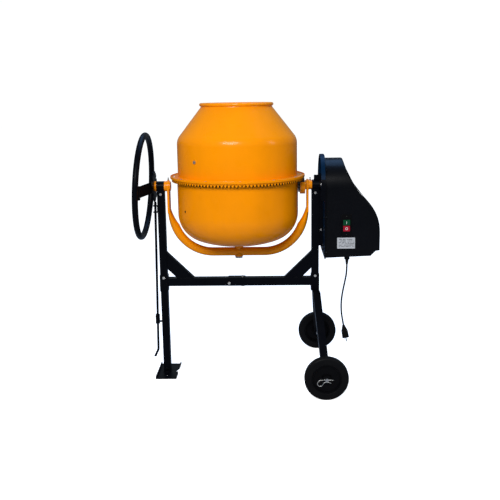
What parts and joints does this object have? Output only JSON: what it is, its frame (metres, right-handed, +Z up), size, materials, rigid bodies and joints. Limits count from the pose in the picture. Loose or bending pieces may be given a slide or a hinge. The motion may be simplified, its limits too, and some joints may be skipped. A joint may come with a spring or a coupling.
{
  "type": "concrete mixer",
  "caption": "Tilting-drum concrete mixer: bevel-driven steel drum in a tilting yoke with handwheel, on a tube frame with one foot, two wheels and a side motor housing.",
  "frame": {"origin": "on the floor, under the middle of the machine's outer box; the drum's axis is 93.94 mm left of it", "axes": "+Z up along the drum's axis at rest, +X towards the motor housing along the tilt axis, -Y the operator's front"},
  "size_m": [1.1722, 0.794, 1.358],
  "materials": {
    "orange": "glossy orange-yellow enamel",
    "orange_cast": "orange-yellow enamel over cast iron",
    "black": "semi-gloss black powder coat",
    "zinc": "bright zinc plating",
    "steel": "bare turned steel",
    "bronze": "sintered bronze",
    "motor_alloy": "die-cast alloy",
    "pulley_iron": "machined cast iron",
    "belt_rubber": "reinforced rubber",
    "tyre_rubber": "solid rubber tyre",
    "wheel_plastic": "moulded plastic",
    "switch_plastic": "moulded plastic",
    "green_plastic": "moulded plastic",
    "red_plastic": "moulded plastic",
    "label_foil": "printed foil, left blank",
    "cord_rubber": "rubber cable sheath"
  },
  "bodies": {
    "frame": {"left_post": "black", "right_post": "black", "left_bearing": "black", "right_bearing": "black", "trunnion_bushes": "bronze", "left_beam": "black", "right_beam": "black", "beam_saddle": "black", "left_brace": "black", "right_brace": "black", "left_leg": "black", "foot_plate": "black", "front_stand_leg": "black", "rear_stand_leg": "black", "wheel_axles": "steel", "wheel_clips": "zinc", "frame_bolts": "zinc", "back_plate": "black", "plate_brackets": "black", "drive_cover": "black", "motor_shell": "motor_alloy", "motor_bracket": "black", "power_switch": "switch_plastic", "data_plate": "label_foil", "cord_gland": "cord_rubber", "power_cord": "cord_rubber", "plug_body": "cord_rubber", "plug_prongs": "zinc", "lower_rod_guide": "black", "upper_rod_guide": "black", "drive_belt": "belt_rubber"},
    "yoke": {"yoke_tube": "orange", "left_trunnion": "orange", "trunnion_collar": "orange", "right_trunnion": "orange", "yoke_bushes": "bronze", "pinion_guard": "orange", "lock_disc": "black", "handwheel_rim": "black", "handwheel_bar": "black", "yoke_fittings": "zinc"},
    "drum": {"drum_lower": "orange", "drum_upper": "orange", "ring_gear": "orange_cast", "mixing_blades": "orange", "drum_spindle": "steel", "drum_bolts": "zinc"},
    "pinion": {"drive_pinion": "pulley_iron", "pinion_shaft": "steel", "driven_pulley": "pulley_iron"},
    "rotor": {"motor_rotor": "steel", "motor_pulley": "pulley_iron"},
    "lock_rod": {"lock_rod": "black", "lock_pin": "zinc"},
    "front_wheel": {"front_wheel": "wheel_plastic", "front_tyre": "tyre_rubber"},
    "rear_wheel": {"rear_wheel": "wheel_plastic", "rear_tyre": "tyre_rubber"},
    "start_button": {"start_button": "green_plastic"},
    "stop_button": {"stop_button": "red_plastic"}
  },
  "joints": [
    {"name": "yoke_tilt", "type": "hinge", "parent": "frame", "child": "yoke", "pos_m": [-0.09394, 0, 0.96], "axis": [1, 0, 0], "range_deg": [-120, 120]},
    {"name": "drum_spin", "type": "hinge", "parent": "yoke", "child": "drum", "pos_m": [-0.09394, 0, 0.96], "axis": [0, 0, 1], "continuous": true},
    {"name": "pinion_spin", "type": "hinge", "parent": "yoke", "child": "pinion", "pos_m": [-0.09394, 0, 0.96], "axis": [1, 0, 0], "continuous": true},
    {"name": "rotor_spin", "type": "hinge", "parent": "frame", "child": "rotor", "pos_m": [-0.09394, 0, 0.71], "axis": [1, 0, 0], "continuous": true},
    {"name": "lock_slide", "type": "slide", "parent": "frame", "child": "lock_rod", "axis": [0.0177, 0, 0.9998], "range_m": [0, 0.012]},
    {"name": "front_wheel_spin", "type": "hinge", "parent": "frame", "child": "front_wheel", "pos_m": [0.31806, -0.366, 0.103], "axis": [0, 1, 0], "continuous": true},
    {"name": "rear_wheel_spin", "type": "hinge", "parent": "frame", "child": "rear_wheel", "pos_m": [0.31806, 0.366, 0.103], "axis": [0, 1, 0], "continuous": true},
    {"name": "start_press", "type": "slide", "parent": "frame", "child": "start_button", "axis": [0, 1, 0], "range_m": [0, 0.0025], "stiffness_N_per_m": 300},
    {"name": "stop_press", "type": "slide", "parent": "frame", "child": "stop_button", "axis": [0, 1, 0], "range_m": [0, 0.0025], "stiffness_N_per_m": 300}
  ],
  "couplings": [
    {"joint": "pinion_spin", "follows": "drum_spin", "ratio": -10},
    {"joint": "rotor_spin", "follows": "drum_spin", "ratio": -60}
  ]
}
